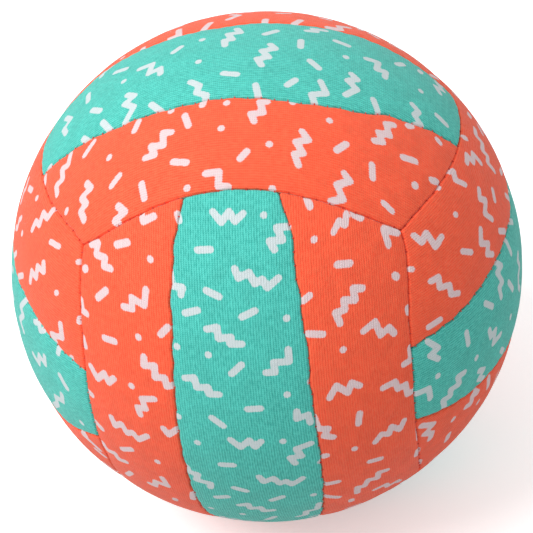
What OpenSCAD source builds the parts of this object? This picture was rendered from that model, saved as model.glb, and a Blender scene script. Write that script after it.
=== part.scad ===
// A size 5 volleyball: a padded knit cover of eighteen sewn panels over an air bladder with a needle valve.
// The origin is the centre of the ball, the front face looks along -Y and the top face along +Z.
// The panels lie on six faces like those of a cube, three strips to a face.
// Each face's strips end on the long side of a neighbour's outer strip, so the faces interlock.

/* [Ball] */
// Diameter of the finished ball
ball_d = 210; // [180:1:240]
// Half the angle about its own axis that a middle strip covers, in degrees
strip_half_angle = 15; // [12:0.5:18]
// Angle by which the ends of a face's strips bow past the shared edge of the two faces, in degrees
seam_bow = 8.2; // [5:0.1:11]

/* [Cover] */
// Thickness of the knit cover with its foam backing
cover_t = 2.2; // [1.6:0.1:2.8]
// Outer radius of a rolled panel edge
roll_r = 3; // [2.2:0.1:4]
// Depth of the seam allowance that is turned in below the cover
allowance = 4; // [3:0.5:7]
// Gap between the turned-in walls of two sewn panels
seam_gap = 0.3; // [0.2:0.05:0.5]

/* [Stitching] */
// Thickness of the sewing thread
thread_d = 0.5; // [0.3:0.05:0.7]
// Distance from one stitch to the next along a seam
stitch_pitch = 5; // [3:0.25:7]
// Depth of a stitch's middle below the surface of the ball
stitch_depth = 0.65; // [0.5:0.05:1]
// Gap between a stitch's ends and the rolled edges that it crosses to
stitch_clearance = 0.1; // [0.05:0.05:0.2]
// Bare stretch at each end of a seam, where the thread turns in
seam_end_margin = 3; // [2:0.5:8]

/* [Bladder] */
// Wall of the bladder
bladder_t = 1; // [0.6:0.1:2]
// Gap between the bladder and the seam allowances that it presses on
bladder_clearance = 0.3; // [0.2:0.05:0.6]

/* [Valve] */
// Hole for the valve in the cover
valve_hole_d = 8; // [7.7:0.1:10]
// Depth of the valve's face below the surface of the ball
valve_recess = 0.4; // [0.2:0.1:1]
// Outer diameter of the valve body's neck
neck_d = 7.4; // [6.8:0.1:7.6]
// Length of the neck inside the bladder
neck_inside = 5; // [3:0.5:8]
// Diameter of the flange that is bonded to the bladder
flange_d = 28; // [18:1:36]
// Thickness of that flange
flange_t = 1.4; // [0.8:0.1:2]
// Diameter of the plug's stem
plug_d = 4; // [3:0.1:4.6]
// Diameter of the plug's head
plug_head_d = 5.6; // [4.8:0.1:6]
// Thickness of the plug's head
plug_head_t = 1.2; // [0.8:0.1:2]
// Bore that guides the inflating needle
needle_d = 1.8; // [1.4:0.1:2.2]
// Depth of the needle bore, which ends in a slit that closes by itself
needle_depth = 7; // [4:0.5:9]
// Diameter of the reinforcing patch behind the cover
patch_d = 34; // [20:1:44]
// Thickness of the reinforcing patch
patch_t = 0.8; // [0.5:0.1:1.4]
// Gap between parts of the valve that fit together
valve_fit = 0.1; // [0.05:0.05:0.2]

/* [Hidden] */
$fn = 120;
// How far a cutting form runs past what it cuts
overrun = 1;
// How far the arc of a rolled edge stands past the surfaces that it joins
roll_ease = 0.06;

ball_r = ball_d / 2;
cover_inner_r = ball_r - cover_t;
allowance_r = cover_inner_r - allowance;
bladder_r = allowance_r - bladder_clearance;
bladder_inner_r = bladder_r - bladder_t;

// Three seams meet in the directions of a cube's corners.
corner_share = 1 / sqrt(3);
// The seam at a strip's end is a circle through two corners and through the middle of the bow.
bow_angle = 45 + seam_bow;
seam_tilt = atan((cos(bow_angle) - corner_share) / (corner_share - sin(bow_angle)));
seam_angle = acos(corner_share * (cos(seam_tilt) + sin(seam_tilt)));
seam_half_turn = asin(corner_share / sin(seam_angle));
// A strip seam is a great circle that ends where it meets the end seam.
strip_lean = atan(-tan(seam_tilt) / cos(strip_half_angle));
strip_reach = norm([sin(seam_tilt), cos(strip_half_angle) * cos(seam_tilt)]);
strip_half_turn = acos(cos(seam_angle) / strip_reach) - strip_lean;

// An end seam's walls follow a sphere that is square to the ball's surface along the seam.
wall_centre = ball_r / cos(seam_angle);
wall_r = ball_r * tan(seam_angle);
// The centre of a rolled edge's arc: its height above the ball's centre and its distance from the seam
roll_height = ball_r - roll_r + roll_ease;
roll_setback = seam_gap / 2 + roll_r - roll_ease;
// Angle by which the cut of a rolled edge runs past both ends of its seam
roll_margin = 6;

cover_orange = "#f2603f";
cover_teal = "#4fd0c0";
thread_red = "#8c2a2c";
rubber_black = "#26272a";
cloth_white = "#dcdad2";

// Each face: name, turns about the cube's diagonal, half turn to the far side, names of its strips
FACES = [
    ["top", 0, 0, ["front", "middle", "back"]],
    ["right", 1, 0, ["lower", "middle", "upper"]],
    ["back", 2, 0, ["left", "middle", "right"]],
    ["bottom", 0, 1, ["back", "middle", "front"]],
    ["left", 1, 1, ["upper", "middle", "lower"]],
    ["front", 2, 1, ["right", "middle", "left"]]
];
VALVE_FACE = "back";
// The face that lies past each end of a face's strips, at the low end and then the high end
END_NAMES = [
    ["top", "left", "right"],
    ["right", "front", "back"],
    ["back", "bottom", "top"],
    ["bottom", "left", "right"],
    ["left", "front", "back"],
    ["front", "bottom", "top"]
];
STRIPS = [-1, 0, 1];
SIDES = [-1, 1];

function panel_name(face, strip) = str(face[0], "_", face[3][strip + 1], "_panel");
function strip_seam_name(face, side) = str(face[0], "_", face[3][side + 1], "_strip_stitches");
function end_seam_name(face, side) =
    [for (row = END_NAMES) if (row[0] == face[0]) str(face[0], "_to_", row[side < 0 ? 1 : 2], "_stitches")][0];

// The frame of one face: its strips run along X and lie side by side along Y, and it looks along Z.
module face_frame(face) {
    rotate(a = 120 * face[1], v = [1, 1, 1]) rotate([180 * face[2], 0, 0]) children();
}

// The axis of the seam past one end of the strips, with the middle of that seam over local X
module end_axis(side) {
    rotate([0, 0, 90 - 90 * side]) rotate([0, seam_tilt, 0]) children();
}

// The axis of the neighbour's end seam, which runs along one long side of the face
module side_axis(side) {
    rotate([0, 0, 90 - 90 * side]) rotate(a = 240, v = [1, 1, 1]) end_axis(1) children();
}

// The axis of the great circle between the middle strip and an outer one, which points to the outer one
module strip_axis(side) {
    rotate([-side * (90 + strip_half_angle), 0, 0]) children();
}

// A point at a radius on the profile of an end seam, at a distance outside the wall that follows the seam
function end_point(radius, outside) =
    let (height = (pow(radius, 2) - pow(wall_r + outside, 2) + pow(wall_centre, 2)) / (2 * wall_centre))
    [sqrt(pow(radius, 2) - pow(height, 2)), height];

// The same for the flat wall that follows a strip seam
function strip_point(radius, outside) = [sqrt(pow(radius, 2) - pow(outside, 2)), outside];

// The corner that a rolled edge leaves out, turned along its seam: a box from the arc's centre, less the arc
module roll_cut(centre, across, middle, half_turn) {
    outward = centre / norm(centre);
    size = roll_r + overrun;
    turn = half_turn + roll_margin;
    rotate([0, 0, middle - turn]) rotate_extrude(angle = 2 * turn) difference() {
        polygon([centre, centre + size * across, centre + size * (across + outward), centre + size * outward]);
        translate(centre) circle(r = roll_r);
    }
}

// The rolled edge on the inner (-1) or outer (1) side of an end seam
module end_roll_cut(side) {
    centre = end_point(roll_height, side * roll_setback);
    from_wall = centre - [0, wall_centre];
    roll_cut(centre, -side * from_wall / norm(from_wall), 0, seam_half_turn);
}

// The rolled edge below (-1) or above (1) a strip seam
module strip_roll_cut(side, middle) {
    roll_cut(strip_point(roll_height, side * roll_setback), [0, -side], middle, strip_half_turn);
}

module end_wall(setback) {
    translate([0, 0, wall_centre]) sphere(r = wall_r + setback);
}

module strip_wall(setback) {
    translate([0, 0, setback]) cylinder(r = ball_d, h = ball_d);
}

// The part of a ball of this radius that is as high as the cover and its seam allowances
module cover_shell(radius) {
    difference() {
        rotate([0, 90, 0]) sphere(r = radius);
        rotate([0, 90, 0]) sphere(r = allowance_r);
    }
}

// A middle panel's block, with its walls set back from its four seams
module middle_block(radius, setback) {
    intersection() {
        difference() {
            cover_shell(radius);
            strip_axis(-1) strip_wall(-setback);
            strip_axis(1) strip_wall(-setback);
        }
        end_axis(-1) end_wall(-setback);
        end_axis(1) end_wall(-setback);
    }
}

// An outer panel's block, for the strip on the +Y side of a face
module outer_block(radius, setback) {
    intersection() {
        difference() {
            cover_shell(radius);
            side_axis(1) end_wall(setback);
            strip_axis(1) rotate([180, 0, 0]) strip_wall(-setback);
        }
        end_axis(-1) end_wall(-setback);
        end_axis(1) end_wall(-setback);
    }
}

// One edge of a panel with its corner rolled over, at an end of the strip
module roll_end(side) {
    difference() {
        children();
        end_axis(side) end_roll_cut(-1);
    }
}

// The same along a strip seam, for a middle panel (-1) or an outer one (1)
module roll_strip_side(side, edge) {
    difference() {
        children();
        strip_axis(side) strip_roll_cut(edge, -90 * side);
    }
}

// The same along the outer long side of a face
module roll_face_side() {
    difference() {
        children();
        side_axis(1) end_roll_cut(1);
    }
}

// A panel as it is sewn: the cover with all four edges rolled over and turned in towards the bladder
module middle_tray() {
    difference() {
        roll_end(1) roll_end(-1) roll_strip_side(1, -1) roll_strip_side(-1, -1) middle_block(ball_r, seam_gap / 2);
        middle_block(cover_inner_r, seam_gap / 2 + cover_t);
    }
}

module outer_tray() {
    difference() {
        roll_end(1) roll_end(-1) roll_strip_side(1, 1) roll_face_side() outer_block(ball_r, seam_gap / 2);
        outer_block(cover_inner_r, seam_gap / 2 + cover_t);
    }
}

module panel(face, strip) {
    color(strip == 0 ? cover_teal : cover_orange) difference() {
        face_frame(face) {
            if (strip == 0) {
                middle_tray();
            } else {
                rotate([0, 0, 90 - 90 * strip]) outer_tray();
            }
        }
        if (face[0] == VALVE_FACE && strip == 0) valve_axis() cylinder(d = valve_hole_d, h = ball_r + overrun);
    }
}

// Half the width of a seam's groove at this depth below the ball's surface
function groove_half(depth) = roll_setback - sqrt(pow(roll_r, 2) - pow(roll_r - roll_ease - depth, 2));

// One row of stitches that bridge the groove of a seam about the Z axis, on both sides of a middle direction
module stitch_row(angle, middle, half_turn) {
    row_r = (ball_r - stitch_depth) * sin(angle);
    row = row_r * half_turn * PI / 180 - seam_end_margin;
    count = floor(row / stitch_pitch);
    turn = row / count / row_r * 180 / PI;
    length = 2 * (groove_half(stitch_depth + thread_d / 2) - stitch_clearance);
    for (i = [-count:count])
        rotate([0, 0, middle + i * turn]) rotate([0, angle, 0]) translate([0, 0, ball_r - stitch_depth])
            rotate([0, 90, 0]) cylinder(d = thread_d, h = length, center = true, $fn = 24);
}

module end_stitches(face, side) {
    color(thread_red) face_frame(face) end_axis(side) stitch_row(seam_angle, 0, seam_half_turn);
}

module strip_stitches(face, side) {
    color(thread_red) face_frame(face) strip_axis(side) stitch_row(90, -90 * side, strip_half_turn);
}

// The valve's axis runs out through the middle of the back face.
module valve_axis() {
    rotate([-90, 0, 0]) children();
}

module bladder() {
    color(rubber_black) difference() {
        sphere(r = bladder_r);
        sphere(r = bladder_inner_r);
        valve_axis() cylinder(d = neck_d + 2 * valve_fit, h = ball_r);
    }
}

// A soft rubber neck in the bladder's wall, with a bonded flange and a stepped bore for the plug
module valve_body() {
    face_h = ball_r - valve_recess;
    color(rubber_black) valve_axis() difference() {
        union() {
            translate([0, 0, bladder_inner_r - neck_inside])
                cylinder(d = neck_d, h = face_h - bladder_inner_r + neck_inside);
            intersection() {
                cylinder(d = flange_d, h = ball_r);
                difference() {
                    sphere(r = bladder_r + valve_fit + flange_t);
                    sphere(r = bladder_r + valve_fit);
                }
            }
        }
        cylinder(d = plug_d + 2 * valve_fit, h = ball_r);
        translate([0, 0, face_h - plug_head_t - valve_fit])
            cylinder(d = plug_head_d + 2 * valve_fit, h = plug_head_t + overrun);
    }
}

// The plug that holds the air in, with a blind bore that the needle is pushed into
module valve_plug() {
    face_h = ball_r - valve_recess;
    tip_h = bladder_inner_r - neck_inside;
    color(rubber_black) valve_axis() difference() {
        union() {
            translate([0, 0, tip_h]) cylinder(d = plug_d, h = face_h - tip_h);
            translate([0, 0, face_h - plug_head_t]) cylinder(d = plug_head_d, h = plug_head_t);
        }
        translate([0, 0, face_h - needle_depth]) cylinder(d = needle_d, h = needle_depth + overrun);
    }
}

// A round of cloth behind the cover, which keeps the valve hole from stretching
module valve_patch() {
    color(cloth_white) valve_axis() difference() {
        intersection() {
            cylinder(d = patch_d, h = ball_r);
            sphere(r = cover_inner_r - valve_fit);
        }
        sphere(r = cover_inner_r - valve_fit - patch_t);
        cylinder(d = valve_hole_d, h = ball_r);
    }
}

for (face = FACES) for (strip = STRIPS)
    panel(face, strip);
for (face = FACES) for (side = SIDES)
    end_stitches(face, side);
for (face = FACES) for (side = SIDES)
    strip_stitches(face, side);
bladder();
valve_body();
valve_plug();
valve_patch();
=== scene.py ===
import itertools
import math
from collections import namedtuple

import bpy
import numpy as np
from mathutils import Matrix, Vector


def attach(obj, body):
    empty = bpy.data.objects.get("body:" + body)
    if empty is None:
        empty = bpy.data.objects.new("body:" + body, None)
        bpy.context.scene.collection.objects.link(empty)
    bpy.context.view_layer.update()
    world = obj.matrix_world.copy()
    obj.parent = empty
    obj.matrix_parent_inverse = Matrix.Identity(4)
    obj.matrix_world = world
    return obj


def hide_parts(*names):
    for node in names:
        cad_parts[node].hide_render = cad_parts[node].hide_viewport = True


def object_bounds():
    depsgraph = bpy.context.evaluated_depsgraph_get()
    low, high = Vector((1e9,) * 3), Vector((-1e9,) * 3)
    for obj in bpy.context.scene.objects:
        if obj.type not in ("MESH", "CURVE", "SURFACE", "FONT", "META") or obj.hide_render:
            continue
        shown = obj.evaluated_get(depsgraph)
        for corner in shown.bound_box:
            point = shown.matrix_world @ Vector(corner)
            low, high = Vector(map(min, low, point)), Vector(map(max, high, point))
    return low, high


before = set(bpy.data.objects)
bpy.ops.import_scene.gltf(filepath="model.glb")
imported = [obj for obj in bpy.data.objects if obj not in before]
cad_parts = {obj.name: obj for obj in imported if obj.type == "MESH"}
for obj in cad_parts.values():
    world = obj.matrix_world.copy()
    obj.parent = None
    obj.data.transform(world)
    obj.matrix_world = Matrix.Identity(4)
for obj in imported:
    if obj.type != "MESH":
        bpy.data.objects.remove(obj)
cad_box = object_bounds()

# The ball is worked out in millimetres about its centre, and its meshes are written in metres.
MM = 0.001
BALL_R = (cad_box[1].x - cad_box[0].x) / 2 / MM

# The camera of the photograph, fitted to the seams
CAMERA_PLACE = (0.1099, -0.7518, 0.5724)
CAMERA_AXES = ((0.9924, 0.0666, -0.1033), (0.0416, 0.6091, 0.7920), (0.1156, -0.7903, 0.6017))
CAMERA_LENS = 155.5
SENSOR_WIDTH = 36

# The cover, with its seams drawn tighter than in the solids
STRIP_HALF_ANGLE = math.radians(15)
SEAM_BOW = math.radians(8.2)
COVER_T = 2.2
ROLL_R = 1.3
ROLL_EASE = 0.06
ALLOWANCE = 4.0
SEAM_GAP = 0.1
COVER_INNER_R = BALL_R - COVER_T
ALLOWANCE_R = COVER_INNER_R - ALLOWANCE
ROLL_SETBACK = SEAM_GAP / 2 + ROLL_R - ROLL_EASE

# The stitching, as in the solids
STITCH_PITCH = 5.0
STITCH_DEPTH = 0.65
SEAM_END_MARGIN = 3.0

# The seam at a strip's end is a circle through two corners of a cube and the middle of the bow.
CORNER_SHARE = 1 / math.sqrt(3)
BOW_ANGLE = math.radians(45) + SEAM_BOW
SEAM_TILT = math.atan((math.cos(BOW_ANGLE) - CORNER_SHARE) / (CORNER_SHARE - math.sin(BOW_ANGLE)))
SEAM_ANGLE = math.acos(CORNER_SHARE * (math.cos(SEAM_TILT) + math.sin(SEAM_TILT)))
END_HALF_TURN = math.asin(CORNER_SHARE / math.sin(SEAM_ANGLE))
# A strip seam is a great circle that ends where it meets the end seam.
STRIP_LEAN = math.atan(-math.tan(SEAM_TILT) / math.cos(STRIP_HALF_ANGLE))
STRIP_REACH = math.hypot(math.sin(SEAM_TILT), math.cos(STRIP_HALF_ANGLE) * math.cos(SEAM_TILT))
STRIP_HALF_TURN = math.acos(math.cos(SEAM_ANGLE) / STRIP_REACH) - STRIP_LEAN

# Each face: turns about the cube's diagonal, half turns to the far side, strips, faces past their ends
Face = namedtuple("Face", "name turns half_turns strips ends")
FACES = (
    Face("top", 0, 0, ("front", "middle", "back"), ("left", "right")),
    Face("right", 1, 0, ("lower", "middle", "upper"), ("front", "back")),
    Face("back", 2, 0, ("left", "middle", "right"), ("bottom", "top")),
    Face("bottom", 0, 1, ("back", "middle", "front"), ("left", "right")),
    Face("left", 1, 1, ("upper", "middle", "lower"), ("front", "back")),
    Face("front", 2, 1, ("right", "middle", "left"), ("bottom", "top")),
)
X_AXIS = (1, 0, 0)
Y_AXIS = (0, 1, 0)
Z_AXIS = (0, 0, 1)
DIAGONAL = (1, 1, 1)


def turn(angle, axis):
    """A rotation as a numpy matrix; the angle is in radians."""
    return np.array(Matrix.Rotation(angle, 3, Vector(axis)))


def face_frame(face):
    """The frame of a face: its strips run along X and lie side by side along Y, and it looks along Z."""
    return turn(math.radians(120) * face.turns, DIAGONAL) @ turn(math.pi * face.half_turns, X_AXIS)


def strip_name(face, strip):
    return face.name + "_" + face.strips[strip + 1]


def draw_for(name):
    """A random generator that is always the same for a name."""
    return np.random.default_rng(sum(map(ord, name)))


def end_axes(side):
    """The frame of the seam past one end of the strips: a circle about its Z, with its middle over its X."""
    return turn(math.pi / 2 * (1 - side), Z_AXIS) @ turn(SEAM_TILT, Y_AXIS)


def side_axes():
    """The frame of the neighbour's end seam, which runs along the +Y side of the face."""
    return turn(math.radians(240), DIAGONAL) @ end_axes(1)


def strip_axes(side):
    """The frame of the great circle beside the middle strip, with its Z on the outer strip's side."""
    return turn(-side * (math.pi / 2 + STRIP_HALF_ANGLE), X_AXIS) @ turn(-math.pi / 2 * side, Z_AXIS)


def unit(points):
    return points / np.linalg.norm(points, axis=-1, keepdims=True)


class Edge:
    """One edge of a panel: a circle on the ball, seen from the side that the panel lies on."""

    def __init__(self, axes, angle, half_turn, inside, sway, drift=(), along_sign=1):
        self.axes = axes
        self.drift = np.array(drift, float)
        self.along_sign = along_sign
        self.angle = angle
        self.half_turn = half_turn
        self.sign = 1 if inside else -1
        self.sway = sway
        # The circle that the panel's own wall follows, half the gap away from the seam
        self.wall_angle = angle - self.sign * SEAM_GAP / 2 / BALL_R
        row_r = (BALL_R - STITCH_DEPTH) * math.sin(angle)
        row = row_r * half_turn - SEAM_END_MARGIN
        self.count = math.floor(row / STITCH_PITCH)
        self.stitch_turn = row / self.count / row_r

    def distance(self, points):
        """How far the points lie from the seam, positive on the panel's side."""
        polar = np.arccos(np.clip(points @ self.axes[:, 2], -1, 1))
        return (self.angle - polar) * self.sign * BALL_R

    def azimuth(self, points):
        """The angle along the seam, from its middle."""
        return np.arctan2(points @ self.axes[:, 1], points @ self.axes[:, 0])

    def phase(self, points):
        """The place along the seam in stitches, from its middle."""
        return self.azimuth(points) / self.stitch_turn

    def stretch(self, start, end, shares):
        """Points along the panel's wall between two corners."""
        azimuths = self.azimuth(start) + (self.azimuth(end) - self.azimuth(start)) * shares
        return self.places(azimuths, self.wall_angle)

    def places(self, azimuths, angle):
        """Directions on a circle about the seam's axis."""
        local = [
            math.sin(angle) * np.cos(azimuths),
            math.sin(angle) * np.sin(azimuths),
            np.full_like(azimuths, math.cos(angle)),
        ]
        return np.stack(local, -1) @ self.axes.T


def corner(one, other, near):
    """Where the walls of two edges meet, at the meeting that lies nearer to a direction."""
    a, b = one.axes[:, 2], other.axes[:, 2]
    dot = a @ b
    heights = np.array([math.cos(one.wall_angle), math.cos(other.wall_angle)])
    p, q = np.linalg.solve(np.array([[1, dot], [dot, 1]]), heights)
    flat = p * a + q * b
    across = unit(np.cross(a, b)) * math.sqrt(1 - flat @ flat)
    return max(flat + across, flat - across, key=lambda point: point @ near)


# How the sewn cover departs from plain trays
CORNER_ROUND = 1.3
STRIP_SWAY = 0.2
END_SWAY = 0.08
SWAY_REACH = 3.5
SWAY_UNREST = 0.35
SWAY_END = 0.12
PUCKER = 0.15
PUCKER_REACH = 2.4
CROWN = 0.45
CROWN_REACH = 6.0
RIPPLE = 0.2
RIPPLE_WAVES = 14
RIPPLE_LENGTHS = (12, 34)
RIPPLE_SEED = 11
SWAY_SEED = 5
WALL_STEEPNESS = 5.0
LEAST_WALL = 0.3
DEEPEST = ALLOWANCE + COVER_T - LEAST_WALL
SIDE_POINTS = 241
EDGE_LINES = 8
MESH_STEP = 1.0
INNER_STRIDE = 4

# Where the strip seams drift off their even lines: millimetres along a seam, and off the face's middle
DRIFT_REACH = 15.0
DRIFT_EASE = 6.0
DRIFT_FADE = 0.02
HIDDEN_DRIFT = 1.2
HIDDEN_DRIFT_KNOTS = range(-80, 81, 20)
DRIFTS = {
    "front_left": (
        (94, 2.2), (90, 2), (80, 2.6), (60, 1.6), (40, 0.2), (20, -0.2), (0, 0.3), (-20, 0.6), (-40, 1.5),
        (-50, 2.4), (-60, 3.6), (-70, 4), (-80, 3), (-94, 1),
    ),
    "front_right": (
        (94, 0.3), (90, 1.2), (80, 2.3), (60, 0.5), (40, -0.5), (20, -1.4), (0, -1.3), (-20, -1.1),
        (-40, -0.3), (-50, 0.1), (-60, -0.4),
    ),
    "top_front": (
        (94, -5.8), (80, -5.2), (70, -3.6), (60, -2.8), (50, 0.3), (40, 0.6), (30, 0.8), (20, 0.5),
        (10, -0.3), (0, -0.9), (-10, -0.7), (-20, 0.5), (-30, 1), (-40, 0.9), (-50, 2), (-60, 1.1),
        (-70, 1.1), (-80, 0.7), (-94, 0.6),
    ),
    "top_back": (
        (94, 12), (80, 12), (70, 11), (60, 9), (50, 7.5), (38, 5.5), (31, 3), (21, 1.3), (11, 0.3),
        (2, -0.7), (-8, -2.7), (-21, -2.2), (-29, -1.2), (-37, -0.5), (-46, 2), (-56, 4.5), (-66, 6.6),
        (-80, 6), (-94, 5),
    ),
    "right_upper": (
        (-10, -1.5), (-20, -1.2), (-30, -0.9), (-50, -0.6), (-60, -0.6), (-70, 0), (-80, 1), (-90, 2.8),
        (-94, 3.8),
    ),
    "right_lower": (
        (-15, -0.8), (-28, -2), (-40, -3.2), (-50, -2.7), (-60, -1.9), (-70, -1.2), (-80, -1.1),
        (-90, -1.5), (-94, -2.5),
    ),
    "left_upper": ((-30, -0.4), (-50, 0.6), (-60, 0), (-70, -1), (-80, -1.3), (-94, -1.7)),
    "left_lower": (
        (-20, 0.6), (-35, 1.8), (-50, 4), (-62, 6.2), (-70, 6.2), (-76, 4.8), (-82, 3.6), (-88, 3),
        (-94, 3),
    ),
}

# Where the end seams drift: millimetres along a seam from its middle, and away from its own face's middle
END_DRIFT_REACH = 7.0
END_DRIFT_FULL = 1.2
END_DRIFTS = (
    ("top", -1, ((-8, 2.5), (0, 0.9), (10, 0.3), (20, -0.4), (30, -1), (42, -1.4), (50, -1.6), (60, -1.6))),
    ("top", 1, ((-60, -0.9), (-50, -1.2), (-40, -1.4), (-30, -1.4), (-20, -1.2))),
    ("top", 1, ((-10, -0.8), (0, -0.5), (10, 0), (20, 0.6))),
    ("front", 1, ((-60, -0.8), (-50, -1.1), (-40, -1.2), (-30, -0.7), (-20, 0), (-10, 0.5), (0, 0.5))),
    ("front", 1, ((10, 0.1), (20, -0.1), (30, -1.1), (40, -1.8), (50, -2.2), (57, -2.2), (62, -1.5))),
    ("right", -1, ((-63, -2), (-57, -2.5), (-50, -2.2), (-45, -1.9), (-40, -1.5), (-35, -0.8), (-30, -0.3))),
    ("right", -1, ((-20, -0.6), (-10, -0.5), (0, 0), (10, 0.2), (20, 0.3))),
    ("left", -1, ((-20, -1), (-10, -1.2), (0, -1.4), (10, -1.3), (20, -0.9), (30, -0.8))),
    ("left", -1, ((40, -1.1), (50, -1.1), (57, -1), (62, -0.5))),
)

# The valve's hole, in the middle of the back face
VALVE_PANEL = "back_middle_panel"
VALVE_HOLE_R = 4.0
HOLE_REACH = 12.0


def drift_of(face, side):
    """How a strip seam drifts: read from the photograph, or a slight unrest where it doesn't show."""
    name = strip_name(face, side)
    if name in DRIFTS:
        return DRIFTS[name]
    draw = draw_for(name)
    return [(along, draw.uniform(-HIDDEN_DRIFT, HIDDEN_DRIFT)) for along in HIDDEN_DRIFT_KNOTS]


def end_edge(side):
    return Edge(end_axes(side), SEAM_ANGLE, END_HALF_TURN, True, END_SWAY)


def strip_edge(face, side, inside, turned=False):
    """A strip seam of a face; a turned one is seen with the face's far strip turned to +Y."""
    axes = strip_axes(1 if turned else side)
    sign = -1 if turned else 1
    return Edge(axes, math.pi / 2, STRIP_HALF_TURN, inside, STRIP_SWAY, drift_of(face, side), sign)


def panel_edges(face, strip):
    """The edges of a middle panel, or else of the outer one at +Y: low, high, left and right."""
    if strip == 0:
        low, high = strip_edge(face, -1, False), strip_edge(face, 1, False)
    else:
        low = strip_edge(face, strip, True, strip < 0)
        high = Edge(side_axes(), SEAM_ANGLE, END_HALF_TURN, False, END_SWAY)
    return low, high, end_edge(-1), end_edge(1)


def roll_depth(distance):
    """Depth of a rolled edge below the ball's surface at a distance from its seam."""
    from_centre = np.clip(ROLL_SETBACK - distance, 0, ROLL_SETBACK - SEAM_GAP / 2)
    arc = ROLL_R - ROLL_EASE - np.sqrt(ROLL_R**2 - from_centre**2)
    past_wall = np.clip(SEAM_GAP / 2 - distance, 0, None) * WALL_STEEPNESS
    return np.clip(arc, 0, None) + past_wall


def ripple(points, seed):
    """A slow, even unrest of the cloth, from a sum of waves in set directions."""
    draw = np.random.default_rng(seed)
    total = np.zeros(points.shape[:-1])
    for _ in range(RIPPLE_WAVES):
        direction = unit(draw.normal(size=3))
        turns = BALL_R * 2 * math.pi / draw.uniform(*RIPPLE_LENGTHS)
        total += np.sin(points @ direction * turns + draw.uniform(0, 2 * math.pi))
    return total / RIPPLE_WAVES


def bell(distance, reach):
    """1 at no distance, and next to nothing past twice the reach."""
    return np.exp(-((distance / reach) ** 2))


def outward_of(edge, points):
    """The direction away from a seam's pole, on the ball."""
    pole = edge.axes[:, 2]
    return unit(points * (points @ pole)[..., None] - pole)


def drifted(points, edges):
    """The points moved aside with the strip seams, but not off the other seams that they lie on."""
    moved = points.copy()
    along = np.arcsin(np.clip(points[..., 0], -1, 1)) * BALL_R
    for edge in edges:
        if len(edge.drift):
            weights = bell(along[..., None] * edge.along_sign - edge.drift[:, 0], DRIFT_EASE)
            shift = weights @ edge.drift[:, 1] / (weights.sum(axis=-1) + DRIFT_FADE)
            shift = shift * bell(edge.distance(points), DRIFT_REACH)
            moved = moved - outward_of(edge, points) * (shift / BALL_R)[..., None]
    moved = unit(moved)
    for edge in edges:
        if not len(edge.drift):
            slip = edge.distance(moved) - edge.distance(points)
            slip = slip * edge.sign * bell(edge.distance(points), DRIFT_REACH)
            moved = unit(moved + outward_of(edge, moved) * (slip / BALL_R)[..., None])
    return moved


def end_drift_places():
    """Places on the drifting end seams, and how far the cloth lies off at each, as vectors on the ball."""
    places, shifts = [], []
    for name, side, drifts in END_DRIFTS:
        face = next(face for face in FACES if face.name == name)
        edge = end_edge(side)
        azimuths = np.array([along for along, _ in drifts]) / (BALL_R * math.sin(edge.angle))
        local = edge.places(azimuths, edge.angle)
        amounts = np.array([amount for _, amount in drifts])
        places.append(local @ face_frame(face).T)
        shifts.append((outward_of(edge, local) * amounts[:, None] / BALL_R) @ face_frame(face).T)
    return np.concatenate(places), np.concatenate(shifts)


def end_drifted(directions):
    """Directions on the ball moved aside with the end seams."""
    places, shifts = end_drift_places()
    gaps = np.linalg.norm(directions[..., None, :] - places, axis=-1) * BALL_R
    weights = bell(gaps, END_DRIFT_REACH)
    shift = weights @ shifts / np.maximum(weights.sum(axis=-1), END_DRIFT_FULL)[..., None]
    return unit(directions + shift)


def swayed(points, edges, matrix):
    """The points drawn to and fro across each seam, as its tight thread draws the cloth."""
    unrest = ripple(points @ matrix.T, SWAY_SEED)
    moved = end_drifted(drifted(points, edges) @ matrix.T) @ matrix
    for edge in edges:
        phase = edge.phase(points)
        swing = np.cos(math.pi * phase) + unrest * SWAY_UNREST * RIPPLE_WAVES
        to_end = np.clip((edge.half_turn - np.abs(edge.azimuth(points))) / SWAY_END, 0, 1)
        shift = edge.sway * swing * bell(edge.distance(points), SWAY_REACH) * to_end
        moved = moved + outward_of(edge, points) * (shift / BALL_R)[..., None]
    return unit(moved)


def seam_drop(edge, points):
    """Depths by which the cloth sinks towards a seam, and where its stitches pull."""
    distance = np.clip(edge.distance(points), 0, None)
    pull = np.cos(math.pi * edge.phase(points)) ** 2 * bell(distance, PUCKER_REACH)
    return CROWN * np.exp(-distance / CROWN_REACH), PUCKER * pull


def rounded_distance(one, other):
    """Distance from the nearer of two edges that meet at a rounded corner."""
    in_corner = (one < CORNER_ROUND) & (other < CORNER_ROUND)
    arc = CORNER_ROUND - np.hypot(CORNER_ROUND - one, CORNER_ROUND - other)
    return np.where(in_corner, arc, np.minimum(one, other))


def line_shares(widths, count):
    """For each width, the shares of it where lines of a grid lie: close over rolled edges, even between."""
    first = math.asin((ROLL_SETBACK - SEAM_GAP / 2) / ROLL_R)
    steps = np.arange(EDGE_LINES + 1) / EDGE_LINES
    near = ROLL_SETBACK - ROLL_R * np.sin(first * (1 - steps)) - SEAM_GAP / 2
    rows = []
    for width in widths:
        middle = np.linspace(near[-1], width - near[-1], count + 1)[1:-1]
        rows.append(np.concatenate([near, middle, width - near[::-1]]) / width)
    return np.array(rows)


def steps_over(width):
    """How many even steps of a grid go between the rolled edges of a width."""
    return round((width - 2 * ROLL_SETBACK) / MESH_STEP / INNER_STRIDE) * INNER_STRIDE


def line_length(points):
    return np.linalg.norm(np.diff(points, axis=0), axis=1).sum() * BALL_R


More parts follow.
